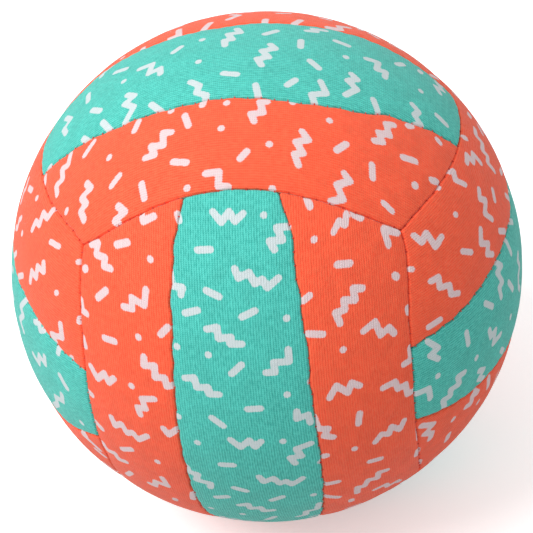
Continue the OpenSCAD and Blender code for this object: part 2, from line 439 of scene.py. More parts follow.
def panel_corners(edges, middle):
    """The corners of a panel, by number: low or high side, left or right side."""
    low, high, left, right = edges
    # Roughly where the corners lie, because each two circles meet twice
    low_y, high_y = (-0.3, 0.3) if middle else (0.3, 1.0)
    return {
        (a, b): corner((low, high)[a], (left, right)[b], np.array([(-1, 1)[b], (low_y, high_y)[a], 1.0]))
        for a in (0, 1)
        for b in (0, 1)
    }


def panel_grid(edges, middle):
    """Directions of a panel's grid: rows across the strip, columns along it, blended from its sides."""
    low, high, left, right = edges
    corners = panel_corners(edges, middle)
    shares = np.linspace(0, 1, SIDE_POINTS)
    low_line = low.stretch(corners[0, 0], corners[0, 1], shares)
    high_line = high.stretch(corners[1, 0], corners[1, 1], shares)
    lengths = line_length(low_line), line_length(high_line)
    widths = 2 * np.arcsin(np.linalg.norm(high_line - low_line, axis=1) / 2) * BALL_R
    columns = steps_over(max(lengths))
    rows = steps_over(widths.max())
    row_total = rows + 2 * EDGE_LINES + 1
    s = line_shares(np.linspace(lengths[0], lengths[1], row_total), columns)
    across = line_shares(widths, rows)
    t = np.stack([np.interp(s[row], shares, across[:, row]) for row in range(row_total)])

    def side(edge, start, end, values):
        return edge.stretch(corners[start], corners[end], values)

    s3, t3 = s[..., None], t[..., None]
    points = (1 - t3) * side(low, (0, 0), (0, 1), s) + t3 * side(high, (1, 0), (1, 1), s)
    points = points + (1 - s3) * side(left, (0, 0), (1, 0), t) + s3 * side(right, (0, 1), (1, 1), t)
    for (a, b), place in corners.items():
        points = points - (t3 if a else 1 - t3) * (s3 if b else 1 - s3) * place
    return unit(points)


# The four corners of every cell of a grid
CELL_CORNERS = (np.s_[:-1, :-1], np.s_[:-1, 1:], np.s_[1:, 1:], np.s_[1:, :-1])


def opened_for_valve(points):
    """The grid drawn aside round the valve's hole, and which of its cells the hole takes out."""
    x, y = points[..., 0] * BALL_R, points[..., 1] * BALL_R
    reach = np.maximum(np.abs(x), np.abs(y))
    inside = reach < VALVE_HOLE_R + MESH_STEP / 4
    cells = np.all([inside[part] for part in CELL_CORNERS], axis=0)
    rim = np.zeros_like(inside)
    for part in CELL_CORNERS:
        rim[part] |= cells
    round_share = np.clip((HOLE_REACH - reach) / (HOLE_REACH - VALVE_HOLE_R), 0, 1)
    round_share = round_share**2 * (3 - 2 * round_share)
    from_axis = np.maximum(np.hypot(x, y), 1e-9)
    wanted = np.where(rim, VALVE_HOLE_R, np.maximum(reach, VALVE_HOLE_R + MESH_STEP / 4))
    scale = 1 + round_share * (wanted / from_axis - 1)
    flat = np.stack([x * scale, y * scale], -1) / BALL_R
    height = np.sqrt(1 - (flat**2).sum(-1, keepdims=True))
    near = (reach < HOLE_REACH)[..., None] & (points[..., 2:] > 0)
    return np.where(near, np.concatenate([flat, height], -1), points), cells & (points[:-1, :-1, 2] > 0)


def quads(ids, cells=None):
    """The faces of a grid of vertex numbers, as seen from outside the ball, less the cells left out."""
    faces = np.stack([ids[part] for part in CELL_CORNERS], -1)
    if cells is not None:
        return faces[~cells].tolist()
    return faces.reshape(-1, 4).tolist()


def rim_of(ids):
    """The vertex numbers round a grid, as seen from outside the ball against the clock."""
    return np.concatenate([ids[0, :-1], ids[:-1, -1], ids[-1, :0:-1], ids[:0:-1, 0]])


def kept_lines(total, stride):
    """The grid lines that the inner side of a panel keeps: those of the rolled edges and some between."""
    middle = range(EDGE_LINES, total - EDGE_LINES, stride)
    return np.array([*range(EDGE_LINES), *middle, *range(total - EDGE_LINES, total)])


def wall_faces(outer, inner, rows, columns):
    """The faces that join the rims of a panel's outer and inner side."""
    inner_rim = rim_of(inner)
    outer_rim = list(rim_of(outer))
    matching = list(rim_of(outer[np.ix_(rows, columns)]))
    starts = [outer_rim.index(vertex) for vertex in matching] + [len(outer_rim)]
    outer_rim = outer_rim + outer_rim[:1]
    faces = []
    for step in range(len(matching)):
        here, there = inner_rim[step], inner_rim[(step + 1) % len(matching)]
        piece = outer_rim[starts[step] : starts[step + 1] + 1]
        faces.append([int(here), int(there)] + [int(vertex) for vertex in piece[::-1]])
    return faces


def hole_faces(outer, inner, cells):
    """The faces round a hole, between a panel's outer and inner side."""
    rows, columns = np.nonzero(cells)
    part = np.s_[rows.min() : rows.max() + 2, columns.min() : columns.max() + 2]
    a, b = rim_of(outer[part]), rim_of(inner[part])
    return [[int(a[i - 1]), int(a[i]), int(b[i]), int(b[i - 1])] for i in range(len(a))]


def make_mesh(name, vertices, faces, sharp=50):
    """A mesh in metres from vertices in millimetres, smooth but for edges over an angle in degrees."""
    mesh = bpy.data.meshes.new(name)
    mesh.from_pydata((np.asarray(vertices) * MM).tolist(), [], faces)
    mesh.update()
    mesh.shade_smooth()
    mesh.set_sharp_from_angle(angle=math.radians(sharp))
    return mesh


def add_object(name, data):
    """A new object in the scene."""
    thing = bpy.data.objects.new(name, data)
    bpy.context.scene.collection.objects.link(thing)
    return thing


def add_piece(name, mesh, materials, node):
    """A new piece that stands for a node of the frame."""
    piece = add_object(name, mesh)
    for material in materials:
        mesh.materials.append(material)
    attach(piece, "root")
    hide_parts(node)
    return piece


# The print: each motif's points in turn, in millimetres across and along a strip's face.
# One point is a dot, two are a dash, more are a zigzag.
PRINT_STROKE = 2.75
PRINT_DOT = 2.85
PRINT_REPEAT = 91.6
CLOTH_WIDTH = 58.0
CLOTH_STEP = 37.0
PRINTS = {}
PRINTS["front_middle_panel"] = (
    (-7.3, 89.3, -4.2, 85.3, -1.2, 89.3, 1, 85.5, 4, 88.3), (11.7, 86.8),
    (22, 81, 16.3, 81.5, 18.5, 76.5, 13.5, 77, 15.3, 73.5), (-13.5, 74.8, -8.5, 75.2),
    (0.3, 68, 1.5, 64.5, 5.5, 66.3, 7.5, 62, 10.3, 63.3, 12, 60, 16.3, 63), (-10.8, 60, -6, 57.8),
    (-24.8, 66, -24.3, 63.5), (-25, 60.7, -19.9, 60.5, -20.8, 57.7), (-19.5, 51, -14.5, 52.5),
    (2, 50, 7, 52), (18.5, 47.7), (-11.5, 45.5, -7.5, 46.3, -7.3, 42, -2.5, 42.5, -3, 39.8, 1.3, 39.7),
    (-23.8, 37.7), (-11.7, 35.5), (-3.5, 28, 0.5, 31.5),
    (18.2, 35.8, 18.3, 31, 12.5, 31.5, 12.8, 27.5, 9.3, 27.7),
    (-21.8, 25.3, -18, 26, -17.5, 21.8, -13, 22.3, -13, 19.3, -9, 19.3), (16.4, 17.5), (1, 12.7, 6, 12.7),
    (19.3, 9.5, 19, 6, 23.5, 7, 24, 3), (-13, 8.7, -9, 5), (-26.5, 7.5),
    (-7, -1.7, -3.6, -5.8, 0.2, -2.1, 2, -5.9, 4.6, -3), (-20.2, -4.4), (12.8, -4),
    (23.2, -7.5, 17.3, -8.9, 19, -13.6, 14.6, -13.4, 16.1, -17.2), (-12.4, -15.9, -7.6, -16),
    (-27.2, -19.5, -26.2, -23.6, -22.8, -23.8, -24.2, -28.3, -18.3, -29.4, -19, -32.7),
    (1.5, -23.4, 2.9, -27.2, 6.8, -24.9, 8.9, -29.2, 11.4, -27.8, 13.4, -30.9, 17.9, -27.5),
    (-9.2, -31.5, -4.8, -33.7), (-17.8, -40.8, -13, -39.3), (4.1, -42.7, 8.7, -40.2), (20.7, -42.6),
    (-9.3, -47.3, -5.8, -45.8, -5.2, -51, -1.2, -49.8, -0.3, -54.6, 3.3, -53.8), (-22.1, -55),
    (-9.6, -59), (21.8, -53.5, 20.2, -61, 15.8, -61, 14.8, -67, 11.8, -68), (-1, -69.5, 2.7, -64),
    (25.6, 21), (25.9, -19.6), (-21.2, 87.4, -20.6, 85.1),
)
PRINTS["front_right_panel"] = (
    (28.2, 89.8, 29.4, 86.2), (38.2, 74.6, 40.5, 77.7, 43.2, 75.6, 43.9, 79.3), (46.9, 78.3, 50.4, 75.6),
    (30.4, 74.1), (38.8, 62.8, 44.1, 61.6), (61.3, 61.8, 59.6, 68.3, 66.5, 64.2), (25.2, 53, 27.6, 54.4),
    (38.6, 41.2, 37, 45.7, 40.9, 45.7, 40.5, 49.4, 45.2, 48, 44.5, 52.5, 48.4, 51.2),
    (62.5, 50.7, 63.8, 49.6), (26.1, 40.3, 31.7, 38.9),
    (47.6, 35.5, 52.5, 37.4, 54.5, 31.5, 58.2, 33, 60.4, 29.8), (39, 30.9), (67.3, 36.6, 67.6, 35),
    (32.2, 12.5, 35.2, 17.1, 39.5, 12.7, 41.1, 16.6, 44.3, 14.2), (63.4, 15.7, 67, 15.9, 67, 21),
    (53.6, 9.6, 58.8, 10.1, 60, 6.2, 63.4, 6.6, 64, 1.6, 67.5, 1.6), (43.2, 1.8, 42.3, -3.2),
    (25.6, 5, 26.6, -1, 30.4, -1.6, 28.6, -5.2, 32, -6.6), (27, -16.5, 28.5, -16.2), (39.7, -16.1),
    (48.2, -16.1, 51.1, -12.9, 54.3, -14.7, 55.5, -10.9, 59.1, -14.7, 61.3, -10.9),
    (45, -27.3, 49.6, -28), (26.1, -35.8, 31.1, -35.6),
    (37.7, -51.5, 38.2, -45.2, 41.1, -46.5, 43.1, -41.5, 47, -43.4, 47.9, -38.4, 51.5, -39.3),
    (25, -46.7, 30, -50.6), (45, -55.5, 50, -54.2, 50.8, -59.2, 55.2, -57.5, 56.2, -61),
    (34.6, -58.5, 34.4, -61), (20.6, 80.8), (67.6, -20, 67.4, -27), (66.3, -35.5, 65.6, -39.3),
)
PRINTS["front_left_panel"] = (
    (-36.5, 84.5, -36, 82, -31, 85), (-48.2, 70.5, -42.7, 72.9), (-32.7, 69),
    (-62, 66.5, -57.8, 68.3, -58.8, 63.9, -53.6, 64.3, -54.6, 61.1, -50.9, 61.3),
    (-45.3, 48.9, -41.4, 49.1, -41.4, 53.2, -36.1, 51.5, -35, 57.5), (-57.9, 48.6, -53.4, 52.7),
    (-65.3, 56.5, -64.2, 57.2), (-30, 41.5, -27, 44.7), (-39.6, 38.7), (-55.6, 34.1, -50.6, 34.3),
    (-37.9, 31.4, -38.4, 27.7, -33.6, 28.6, -34.1, 23.6, -30, 24.3, -29.7, 20.5, -27, 21.4),
    (-67.3, 44.5, -67, 40.9, -64.3, 40.5), (-67.5, 30, -66.6, 27),
    (-64.4, 19.4, -61.5, 15.2, -57.3, 19.1, -55.9, 15.5, -52.9, 18.4), (-44.9, 17.5),
    (-35.6, 14, -41, 12.8, -39.9, 8.6, -43.4, 8.3, -42.8, 5), (-68, 6.4, -66.2, 5.6),
    (-33.5, 0.5, -31.8, -2.5, -28, 0.9),
    (-57.3, -1.4, -56.5, -5.7, -52.7, -3, -50.9, -7.5, -48, -5.9, -45.9, -9.1, -41.4, -5.6),
    (-67.7, -9.1, -64.4, -11.6), (-55.6, -19.3, -50.6, -16.8), (-39.3, -20.2),
    (-66.8, -22, -65.2, -26.2, -60.8, -25.3, -59.8, -29.2, -55.8, -28.5),
    (-39.3, -32, -38, -38.3, -43.4, -36.8, -44.4, -41.8, -47, -41.2), (-55.4, -37.4, -58.8, -42.6),
    (-37.2, -51.8, -37.8, -54), (-27.6, -41, -28.6, -47), (-21.2, 87.4, -20.6, 85.1),
)
PRINTS["top_front_panel"] = (
    (35.5, 72.5, 37.2, 66.5), (45.5, 72.4, 46.4, 71.6), (37.3, 83.3, 38.9, 79.9),
    (24.2, 62.8, 25.8, 59.2, 30.5, 61, 31.5, 56, 35, 58, 36.2, 54.2), (61.6, 61.3, 60.2, 58),
    (47, 53.3, 52.3, 53.5), (42.3, 43, 46.3, 39.2),
    (54.8, 42.2, 57, 44.5, 60.3, 39.2, 65, 41.7, 67.3, 37), (33.9, 36.4),
    (41.5, 26, 44.8, 28.5, 46.5, 23.7, 50.8, 26.5, 51.8, 23.2, 56, 24.7), (28.3, 22.2), (48.8, 13.8),
    (66.5, 15), (29.3, 12.6, 29.5, 9.8, 34.8, 11.2, 35.4, 6.6, 39, 7.9), (52, 5.5, 55, 3), (29.8, -2.8),
    (41.7, -4.4), (66, -1.5, 65.4, -5.2, 59.9, -4.9, 60, -10), (27, -11.8, 29.6, -12.2),
    (33, -19, 38.3, -17.2), (64.5, -17.2), (54.2, -17.5, 52.7, -22.8), (29, -24.8),
    (39.5, -24, 38.5, -27.5, 44.5, -27, 43, -32.2, 47.5, -30.5, 47.2, -34.5), (57.5, -35.8, 63.7, -34.5),
    (28.8, -38.5, 32.8, -40), (62, -46.2, 65.8, -43, 66.8, -47.8, 69, -46.2), (50, -45.8, 52.5, -49.3),
    (39.7, -51), (27, -60, 30.7, -64.2),
    (44.8, -62, 48.2, -59.5, 49.2, -64.5, 53.5, -61.8, 54.2, -65, 59, -63), (49, -73.5),
    (24, -73.3, 29, -73.8, 27.7, -77.8, 33.5, -76.6, 33, -81, 37.5, -80), (17.8, 83.3, 18.4, 84.8),
    (19.5, 71, 21, 69), (21, -90.9, 24.5, -90.6),
)
PRINTS["top_middle_panel"] = (
    (-25, 74.3, -22.5, 73.9), (-4.8, 74.8), (7.8, 71, 9.8, 74, 13.2, 72, 15.8, 75.5, 18, 72.5),
    (-20, 66, -16.2, 63.2), (-0.5, 58.3, -5, 58.6, -3.5, 54.6, -9.8, 55.2, -8.8, 50),
    (16, 53.8, 21.5, 56), (5.8, 44.5, 8, 47, 10.5, 43, 13.8, 47, 18.8, 42.5), (-4.8, 41.8),
    (-14.8, 42.2, -16.2, 37), (15, 32.5, 20.8, 35, 23, 29.2, 27.5, 30.8), (3.8, 27.8, 7.5, 31.5),
    (-25.2, 32.3, -24.6, 27.3, -21.6, 28.9, -20.8, 25.2), (-10.3, 23.5, -4.8, 23.7),
    (16.7, 22.8, 20, 19.8), (-17.2, 13.5, -13.5, 9.2),
    (-4.8, 12, -1.7, 14.2, 0, 9, 4.5, 12, 5.5, 7.5, 9.8, 9.5), (21, 7.8, 28.5, 9.5),
    (-20, -2.5, -15.5, -0.5, -15, -5.5, -9.5, -3.2, -9.5, -6.5, -5, -5.8), (15, 0.3, 13.8, -5),
    (4.3, -15.5), (-13, -15.7), (16, -17.8, 19, -14, 22.5, -15, 24.5, -11, 29, -11.5),
    (-10.5, -24.2, -7.5, -27), (22.5, -33.5, 27.8, -29),
    (6, -31, 2, -31.5, 3, -36.5, -3.5, -35.5, -3.8, -41.5),
    (11.2, -45.2, 14, -41.5, 16, -46, 20.3, -41.2, 26.5, -45), (0.3, -48.2), (-9.7, -48.5, -12.5, -54.5),
    (19.5, -56.2, 26.5, -51.8), (7.8, -63, 12, -58.2), (-8.3, -68, -1.6, -66.8), (21, -66.4, 24.6, -63.3),
    (-4.5, -81, 1.5, -76.5, 4, -80.5, 9, -78), (-26, -59, -23, -63.5, -19.5, -63), (4.6, 83, 5.6, 88.2),
    (-14.6, 84.3, -18.6, 81.8, -20.5, 86, -25.2, 82.3, -25.4, 84.6), (18.8, -87.6, 19.2, -92),
)
PRINTS["top_back_panel"] = (
    (-45.2, 49.6, -41.9, 53), (-40.6, 40.9, -37.2, 37, -32.7, 38.2, -31.3, 32.9),
    (-28.5, 19.7, -34, 21.7), (-31.3, 7.9, -25.8, 7.9), (-44.6, -7.1, -40.8, -3.8, -34.2, -7.5),
    (-32.9, -14.6, -25, -16.7), (-35, -28.3, -25.8, -27.1, -25.8, -30.8), (-44.2, 11.8, -46.4, 15.8),
    (-46.9, 29.2, -46.1, 32.4), (-27.4, -43.6), (-31.8, -54.5), (-32.2, 79.8, -34.4, 82.3),
)
PRINTS["right_upper_panel"] = (
    (-57.2, 24.6, -59.1, 20.8),
    (-57.7, 12.9, -58.3, 7.5, -53.5, 8.2, -54.3, 1.7, -50.2, 2.9, -50.5, -2.1, -44.9, -1),
    (-35.5, 12.1, -38, 6.7), (-66.3, -3, -65, -2.2),
    (-55, -7.7, -60.3, -7.4, -59.3, -12.3, -63.4, -11.8, -62.3, -15.9), (-44.5, -13.3, -41.6, -16.5),
    (-32.2, -25.2, -28.3, -20.4), (-33.3, -2.9, -28.3, 1.3),
    (-52.2, -22.1, -49.9, -25.7, -46.8, -22.7, -44.3, -28.8, -39.3, -26.3),
    (-68, -27.8, -66.7, -26, -64.2, -29.3, -59.4, -27.1), (-68.4, -38.3), (-55.7, -42.6),
    (-42.2, -36.5, -38.1, -41, -34.8, -36.8, -32.3, -40.7, -29.5, -37.1), (-42.6, -51.7, -39.3, -48.2),
    (-53.8, -55, -52.3, -60.3, -59.4, -58.6, -57.6, -63, -61.9, -62.8),
    (-29.9, -64.3, -31.8, -67.7, -35.6, -66, -37.4, -70.3, -41.6, -68, -42, -71.7), (-51, -74),
    (-25.3, -77.3, -25.3, -83.2), (-50.8, 18.5, -51.8, 22.5),
)
PRINTS["right_middle_panel"] = (
    (-23.7, -8.1, -26.3, -11.2), (-25.5, -22.7, -18.5, -22.3),
    (-11.5, -13.5, -10.5, -16.5, -6, -14.3, -4.5, -18.8, 0.3, -20, 4, -17), (-11.2, -32.2, -5.2, -28.8),
    (5.2, -33.5), (-25.2, -36.9, -21.2, -34.2, -21.5, -39.2, -15.4, -37.3, -15.4, -41.2, -10.8, -41.2),
    (15, -42.7, 19.2, -38.5), (-16.2, -52.9, -11.9, -49.1),
    (5.2, -45, 5, -51.5, -0.2, -49.3, 0.3, -53.2, -3.6, -54),
    (11.4, -61.7, 13.8, -57.8, 16.2, -61, 19.3, -56.5), (-12.2, -67.9, -6.9, -68.3), (3.1, -64.1),
    (5.2, -71.7, 4.5, -76, 9.1, -74.6, 8.5, -80, 12.3, -79.2, 11.5, -83.5, 16.8, -81.5),
    (-19.6, -86.2, -14.6, -83.1, -13.5, -87.7, -10, -84.6), (-2.5, -86.3),
    (6.2, -90.5, 0.9, -91.2, 0.6, -97), (-23.6, -61.2),
)
PRINTS["right_lower_panel"] = (
    (22.5, -61.5, 25.5, -58.3, 23.5, -63, 29, -61.5, 27.5, -65.8), (23.8, -50.4, 30.8, -47.7),
    (34.2, -53.8), (29.1, -72.7), (39.6, -70, 45, -67.7), (50.8, -78.1, 57.7, -73.8),
    (19.5, -92.5, 23, -85.5, 26, -89, 28.7, -84.3, 32.5, -83.5), (37.3, -86.9, 40.8, -85.4),
)
PRINTS["left_middle_panel"] = (
    (7.5, -47.5, 10.5, -43, 16, -48, 17.5, -44, 24.3, -48.8),
    (2.2, -56.8, 0.8, -62, 6.3, -63.8, 4.8, -68.5, 8.8, -68.6),
    (-21.5, -62, -15.5, -69.5, -10.5, -71, -9.5, -76.5, -5, -78), (1.4, -83.5, 5.8, -79.5),
    (-15.6, -85.8), (20.5, -59.5, 21.8, -62.5, 19.3, -64.5, 21, -67), (16.2, -78.3, 18.8, -78.3),
)
PRINTS["left_upper_panel"] = (
    (27.3, -22.3, 33.8, -28.1), (28.1, -36.9, 32.2, -41.8),
    (38, -16, 40.5, -19.5, 43.5, -18, 46.5, -20.5), (44.6, -28.6), (56.3, -12.1, 59.1, -17.2),
    (61.9, -25.9), (52.7, -36.5, 56.9, -35.8, 57.7, -39.6, 62.7, -36.9, 63.1, -41.5, 68.3, -40.8),
    (35, -50.2, 39.6, -48.8, 39.6, -53.8, 44.2, -51.5, 45, -56.9, 48.1, -54.2),
    (57.9, -51.8, 59.2, -56.8), (41.9, -68.6), (20.3, -76, 22.8, -72.8, 24.8, -79.5, 30.5, -76.6),
    (60, -69.2), (36.5, -84.8, 38, -84.3), (18.3, -86.3), (54.5, -4, 52, -7.2, 49.5, -5.8, 46.5, -9.2),
)
PRINTS["left_lower_panel"] = (
    (-22.6, -78.8, -24.4, -82.3, -26.2, -79.6, -28, -84, -30.8, -85.8), (-33, -82.5, -35.5, -84.8),
)
# The part of the cloth that repeats, for what the photograph doesn't show
REPEAT_START = -7
REPEAT_END = REPEAT_START + PRINT_REPEAT
REPEATED = [motif for motif in PRINTS["front_middle_panel"] if REPEAT_START < motif[1] < REPEAT_END]
CLOTH_COPIES = (-2, -1, 0, 1, 2)
CLOTH_SHIFT = 25
STRIP_SPACING = 46.0
PANEL_REACH_ACROSS = 45
PANEL_REACH_ALONG = 110
PRINT_CLEARANCE = 9.0
PRINT_FAR = 9.0
READ_LEAST = 0.2


def on_ball(flat, matrix):
    """Directions on the ball of flat places on a face."""
    along = flat[..., 1] / BALL_R
    aside = -flat[..., 0] / BALL_R / np.cos(along)
    local = [np.sin(along), np.cos(along) * np.sin(aside), np.cos(along) * np.cos(aside)]
    return np.stack(local, -1) @ matrix.T


def in_photograph(flat, matrix):
    """Whether a flat place on a face shows in the photograph, and not too aslant to read."""
    return on_ball(flat, matrix) @ unit(np.array(CAMERA_PLACE)) > READ_LEAST


def motif_points(motif):
    """The points of a motif, one to a row."""
    return np.array(motif, float).reshape(-1, 2)


def panel_motifs(name, face, strip):
    """The motifs on a panel: those that the photograph shows, and the repeating cloth elsewhere."""
    motifs = [motif_points(motif) for motif in PRINTS.get(name, ())]
    centres = [motif.mean(axis=0) for motif in motifs]
    middle = -strip * STRIP_SPACING
    draw = draw_for(name)
    sign = draw.choice((-1, 1))
    start = np.array([middle + draw.uniform(-CLOTH_SHIFT, CLOTH_SHIFT), draw.uniform(0, PRINT_REPEAT)])

    def is_free(place):
        if abs(place[1]) > PANEL_REACH_ALONG or abs(place[0] - middle) > PANEL_REACH_ACROSS:
            return False
        if name in PRINTS and in_photograph(place, face_frame(face)):
            return False
        return all(math.dist(place, other) >= PRINT_CLEARANCE for other in centres)

    for column, row in itertools.product(CLOTH_COPIES, CLOTH_COPIES):
        shift = np.array([column * CLOTH_WIDTH, row * PRINT_REPEAT + column * CLOTH_STEP])
        repeats = [(motif_points(motif) + shift) * sign + start for motif in REPEATED]
        motifs += [points for points in repeats if is_free(points.mean(axis=0))]
    return motifs


def segment_distance(place, start, end):
    """Distance of flat places from a straight stroke's middle line."""
    step = end - start
    length = step @ step
    share = np.clip(((place - start) @ step) / length, 0, 1) if length else np.zeros(place.shape[:-1])
    return np.linalg.norm(place - start - share[..., None] * step, axis=-1)


def print_gap(place, motifs):
    """Distance of flat places from the edge of the nearest motif, negative inside it."""
    gap = np.full(place.shape[:-1], PRINT_FAR)
    for points in motifs:
        is_dot = len(points) == 1
        half_stroke = (PRINT_DOT if is_dot else PRINT_STROKE) / 2
        ends = points if is_dot else points[1:]
        near = np.all((place > points.min(0) - PRINT_FAR) & (place < points.max(0) + PRINT_FAR), -1)
        for start, end in zip(points, ends):
            gap[near] = np.minimum(gap[near], segment_distance(place[near], start, end) - half_stroke)
    return gap


def strip_place(points):
    """Millimetres across and along a face's strips, flat, as seen from outside."""
    along = np.arcsin(np.clip(points[..., 0], -1, 1))
    across = -np.arctan2(points[..., 1], points[..., 2]) * np.cos(along)
    return np.stack([across, along], -1) * BALL_R


def panel_depth(edges, points, distance, matrix):
    """Depth of a panel's outer side below the ball's surface."""
    drops = [seam_drop(edge, points) for edge in edges]
    crown = np.max([drop[0] for drop in drops], axis=0)
    pucker = np.sum([drop[1] for drop in drops], axis=0)
    unrest = RIPPLE * ripple(points @ matrix.T, RIPPLE_SEED)
    return np.minimum(roll_depth(distance) + crown + pucker + unrest, DEEPEST)


def panel_faces(outer, inner, rows, columns, cells):
    """The faces of a panel's outer side, and those behind it, from two grids of vertex numbers."""
    behind = [face[::-1] for face in quads(inner, cells)]
    behind += wall_faces(outer, inner, rows, columns)
    if cells is not None:
        behind += hole_faces(outer, inner, cells)
    return quads(outer, cells), behind


def without_loose(faces, total):
    """The faces with their vertices numbered anew, and which of all the vertices they use."""
    used = np.zeros(total, bool)
    used[[vertex for face in faces for vertex in face]] = True
    numbers = (np.cumsum(used) - 1).tolist()
    return [[numbers[vertex] for vertex in face] for face in faces], used


def stacked(outer, inner):
    """One row for each vertex, those of the outer side first."""
    return np.concatenate([grid.reshape(-1, *grid.shape[2:]) for grid in (outer, inner)])


def make_panel(face, strip, materials):
    """One panel of the cover: its outer side with rolled edges, its walls, and its foam backing."""
    name = strip_name(face, strip) + "_panel"
    edges = panel_edges(face, strip)
    half = turn(math.pi, Z_AXIS) if strip < 0 else np.eye(3)
    matrix = face_frame(face) @ half
    points, cells, stride = panel_grid(edges, strip == 0), None, INNER_STRIDE
    if name == VALVE_PANEL:
        points, cells = opened_for_valve(points)
        stride = 1
    low, high, left, right = [edge.distance(points) for edge in edges]
    distance = rounded_distance(np.minimum(low, high), np.minimum(left, right))
    outer_r = BALL_R - panel_depth(edges, points, distance, matrix)
    points = swayed(points, edges, matrix)
    directions = points @ matrix.T

    rows, columns = [kept_lines(total, stride) for total in distance.shape]
    kept = np.ix_(rows, columns)
    inner_r = np.where(distance[kept] < SEAM_GAP / 2 + COVER_T, ALLOWANCE_R, COVER_INNER_R)
    vertices = stacked(directions * outer_r[..., None], directions[kept] * inner_r[..., None])
    outer_ids = np.arange(outer_r.size).reshape(outer_r.shape)
    inner_ids = outer_r.size + np.arange(inner_r.size).reshape(inner_r.shape)
    front, behind = panel_faces(outer_ids, inner_ids, rows, columns, cells)
    faces, used = without_loose(front + behind, len(vertices))
    mesh = make_mesh(name, vertices[used], faces)

    flat = strip_place(points @ half.T)
    gap = print_gap(flat, panel_motifs(name, face, strip))
    place = np.concatenate([flat, np.maximum(distance, 0)[..., None]], -1)
    add_values(mesh, "print_gap", stacked(gap, gap[kept])[used])
    add_values(mesh, "strip_place", stacked(place, place[kept])[used])
    piece = add_piece(name.replace("_panel", "_cover"), mesh, materials, name)
    mesh.polygons.foreach_set("material_index", np.array([0] * len(front) + [1] * len(behind), np.int32))


def add_values(mesh, name, values):
    """A value or a vector at each vertex, for the materials."""
    kind, field = ("FLOAT", "value") if values.ndim == 1 else ("FLOAT_VECTOR", "vector")
    attribute = mesh.attributes.new(name, kind, "POINT")
    attribute.data.foreach_set(field, values.astype(np.float32).ravel())


# A stitch: two strands twisted together, which dive into the cloth at both ends
STRAND_R = 0.15
TWIST_R = 0.11
TWIST = 1.1 * 2 * math.pi
STITCH_RINGS = 9
STRAND_SIDES = 6
STRAND_TAPER = 1.05
STITCH_HALF = 0.95
STITCH_DIVE = 0.5
THREAD_SINK = 0.34


def stitch_strand(start_turn):
    """The rings of one strand, along X across the seam, with Y along the seam and Z outward."""
    share = np.linspace(-1, 1, STITCH_RINGS)
    wind = start_turn + share * TWIST / 2
    x = share * STITCH_HALF
    y = TWIST_R * np.cos(wind)
    z = TWIST_R * np.sin(wind) - STITCH_DIVE * share**4
    sides = np.arange(STRAND_SIDES) * 2 * math.pi / STRAND_SIDES
    slim = np.sqrt(np.clip(STRAND_TAPER - share**6, 0, 1))[:, None] * STRAND_R
    rings = np.empty((STITCH_RINGS, STRAND_SIDES, 3))
    rings[..., 0] = x[:, None]
    rings[..., 1] = y[:, None] + slim * np.cos(sides)
    rings[..., 2] = z[:, None] + slim * np.sin(sides)
    return rings.reshape(-1, 3)


def strand_faces():
    """The faces of one closed strand."""
    ids = np.arange(STITCH_RINGS * STRAND_SIDES).reshape(STITCH_RINGS, STRAND_SIDES)
    return quads(np.hstack([ids, ids[:, :1]])) + [ids[0, ::-1].tolist(), ids[-1].tolist()]


def make_stitches(name, face, edge, material):
    """The row of stitches of one seam, on the cloth as it lies there."""
    matrix = face_frame(face)
    strands = [stitch_strand(0), stitch_strand(math.pi)]
    template = strand_faces()
    vertices, faces = [], []
    drop = THREAD_SINK + CROWN + PUCKER
    for number in range(-edge.count, edge.count + 1):
        place = edge.places(np.array([number * edge.stitch_turn]), edge.angle)
        place = swayed(place, [edge], matrix)[0]
        across = unit(edge.axes[:, 2] - place * (place @ edge.axes[:, 2]))
        axes = np.stack([across, np.cross(place, across), place], -1)
        for strand in strands:
            first = sum(len(part) for part in vertices)
            vertices.append((strand @ axes.T + place * (BALL_R - drop)) @ matrix.T)
            faces += [[first + vertex for vertex in one] for one in template]
    mesh = make_mesh(name, np.concatenate(vertices), faces)
    add_piece(name.replace("_stitches", "_thread"), mesh, [material], name)


def revolved(profile, segments):
    """A closed ring about the valve's axis, +Y, from a loop of points (radius, height) in millimetres."""
    radii, heights = np.array(profile).T
    turns = np.arange(segments)[:, None] * 2 * math.pi / segments
    heights = np.broadcast_to(heights, (segments, len(profile)))
    vertices = np.stack([radii * np.cos(turns), heights, radii * np.sin(turns)], -1).reshape(-1, 3)
    ids = np.arange(len(vertices)).reshape(segments, len(profile))
    return vertices, quads(np.pad(ids, (0, 1), mode="wrap").T)


BLADDER_R = 98.5
BLADDER_T = 1.0
BLADDER_HOLE_R = 3.8
BLADDER_POINTS = 160
BLADDER_SEGMENTS = 120
POLE_GAP = 0.002
RIDGE = 0.12
RIDGE_REACH = 1.2
PATCH_R = 17.0
PATCH_T = 0.8
PATCH_CLEARANCE = 0.1
PATCH_OUTER_R = COVER_INNER_R - PATCH_CLEARANCE
PATCH_RIM = 0.2
PATCH_POINTS = 14
PATCH_SEGMENTS = 72


def arc_points(radius, start, end, count, ridge=0.0):
    """Points of a circle about the ball's middle, from one angle off the valve's axis to another."""
    angles = np.linspace(start, end, count)
    grown = radius + ridge * bell((angles - math.pi / 2) * radius, RIDGE_REACH)
    return [(r * math.sin(a), r * math.cos(a)) for r, a in zip(grown, angles)]


